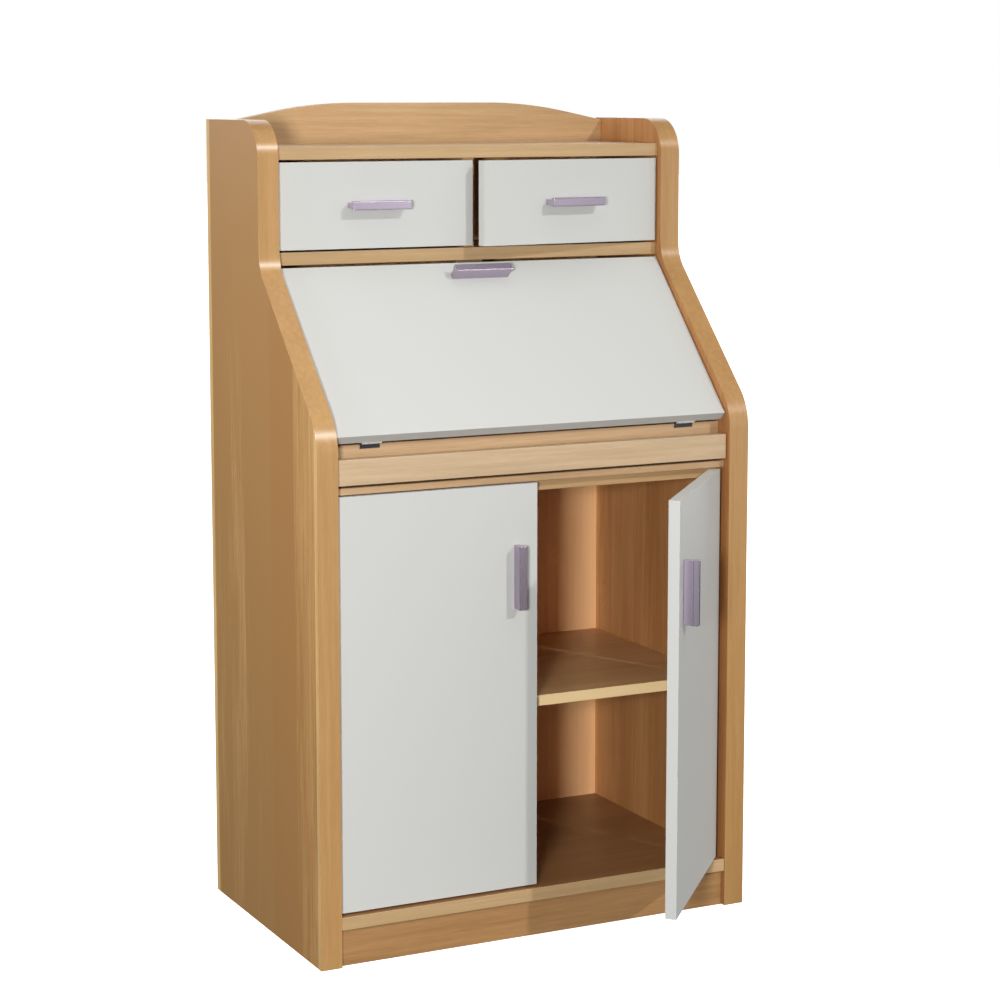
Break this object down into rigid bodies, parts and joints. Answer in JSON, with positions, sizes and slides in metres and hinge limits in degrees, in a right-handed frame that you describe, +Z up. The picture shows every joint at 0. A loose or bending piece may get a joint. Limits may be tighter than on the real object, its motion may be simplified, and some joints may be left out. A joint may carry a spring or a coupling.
{
  "type": "secretary desk",
  "caption": "Upright beech secretary desk with white fronts: two-door top cupboard, slanted drop-down writing flap, pull-out support board and two-door lower cabinet.",
  "frame": {"origin": "floor level, on the carcass back plane, midway between the side panels", "axes": "+Z up, -Y towards the user in front, +X to the right of a user who faces the desk from the front"},
  "size_m": [0.69, 0.6409, 1.204],
  "materials": {
    "beech_sides": "beech with vertical staves, satin lacquer",
    "beech_boards": "beech, satin lacquer",
    "beech_pullout": "paler beech, satin lacquer",
    "back_board": "beech-faced board, matt",
    "white_front": "white lacquer, satin",
    "handle_metal": "satin silver-lilac",
    "hinge_steel": "nickel plated",
    "flap_hinge_metal": "plated, darkened",
    "catch_plastic": "brown moulded plastic"
  },
  "bodies": {
    "carcass": {"side_panel_left": "beech_sides", "side_panel_right": "beech_sides", "top_board": "beech_boards", "gallery_board": "beech_boards", "upper_partition": "beech_boards", "upper_floor_board": "beech_boards", "desk_board": "beech_boards", "pullout_guide_board": "beech_boards", "cabinet_top_board": "beech_boards", "cabinet_shelf": "beech_boards", "bottom_board": "beech_boards", "plinth_front": "beech_boards", "plinth_rear": "beech_boards", "back_panel_upper": "back_board", "back_panel_lower": "back_board", "shelf_pin_left_back": "hinge_steel", "shelf_pin_left_front": "hinge_steel", "shelf_pin_right_back": "hinge_steel", "shelf_pin_right_front": "hinge_steel", "upper_left_hinge_arm_lower": "hinge_steel", "upper_left_hinge_arm_upper": "hinge_steel", "upper_right_hinge_arm_lower": "hinge_steel", "upper_right_hinge_arm_upper": "hinge_steel", "lower_left_hinge_arm_lower": "hinge_steel", "lower_left_hinge_arm_upper": "hinge_steel", "lower_right_hinge_arm_lower": "hinge_steel", "lower_right_hinge_arm_upper": "hinge_steel", "flap_hinge_fixed_leaf_left": "flap_hinge_metal", "flap_hinge_fixed_leaf_right": "flap_hinge_metal", "flap_hinge_pin_left": "hinge_steel", "flap_hinge_pin_right": "hinge_steel", "flap_magnet_catch": "catch_plastic", "pullout_stop": "catch_plastic", "pullout_runner_left": "catch_plastic", "pullout_runner_right": "catch_plastic"},
    "pullout": {"pullout_front": "beech_pullout", "pullout_board": "beech_boards"},
    "flap": {"flap": "white_front", "flap_handle": "handle_metal", "flap_strike_plate": "hinge_steel", "flap_hinge_moving_leaf_left": "flap_hinge_metal", "flap_hinge_moving_leaf_right": "flap_hinge_metal"},
    "upper_left_leaf": {"upper_left_door": "white_front", "upper_left_handle": "handle_metal", "upper_left_hinge_cup_lower": "hinge_steel", "upper_left_hinge_cup_upper": "hinge_steel"},
    "upper_right_leaf": {"upper_right_door": "white_front", "upper_right_handle": "handle_metal", "upper_right_hinge_cup_lower": "hinge_steel", "upper_right_hinge_cup_upper": "hinge_steel"},
    "lower_left_leaf": {"lower_left_door": "white_front", "lower_left_handle": "handle_metal", "lower_left_hinge_cup_lower": "hinge_steel", "lower_left_hinge_cup_upper": "hinge_steel"},
    "lower_right_leaf": {"lower_right_door": "white_front", "lower_right_handle": "handle_metal", "lower_right_hinge_cup_lower": "hinge_steel", "lower_right_hinge_cup_upper": "hinge_steel"}
  },
  "joints": [
    {"name": "flap_hinge", "type": "hinge", "parent": "carcass", "child": "flap", "pos_m": [0, -0.3914, 0.7387], "axis": [1, 0, 0], "range_deg": [0, 133.6]},
    {"name": "pullout_slide", "type": "slide", "parent": "carcass", "child": "pullout", "axis": [0, -1, 0], "range_m": [0, 0.23]},
    {"name": "upper_left_door_hinge", "type": "hinge", "parent": "carcass", "child": "upper_left_leaf", "pos_m": [-0.308, -0.208, 1.057], "axis": [0, 0, -1], "range_deg": [0, 95]},
    {"name": "upper_right_door_hinge", "type": "hinge", "parent": "carcass", "child": "upper_right_leaf", "pos_m": [0.308, -0.208, 1.057], "axis": [0, 0, 1], "range_deg": [-6, 89]},
    {"name": "lower_left_door_hinge", "type": "hinge", "parent": "carcass", "child": "lower_left_leaf", "pos_m": [-0.308, -0.418, 0.371], "axis": [0, 0, -1], "range_deg": [0, 95]},
    {"name": "lower_right_door_hinge", "type": "hinge", "parent": "carcass", "child": "lower_right_leaf", "pos_m": [0.308, -0.418, 0.371], "axis": [0, 0, 1], "range_deg": [-48.5, 46.5]}
  ]
}
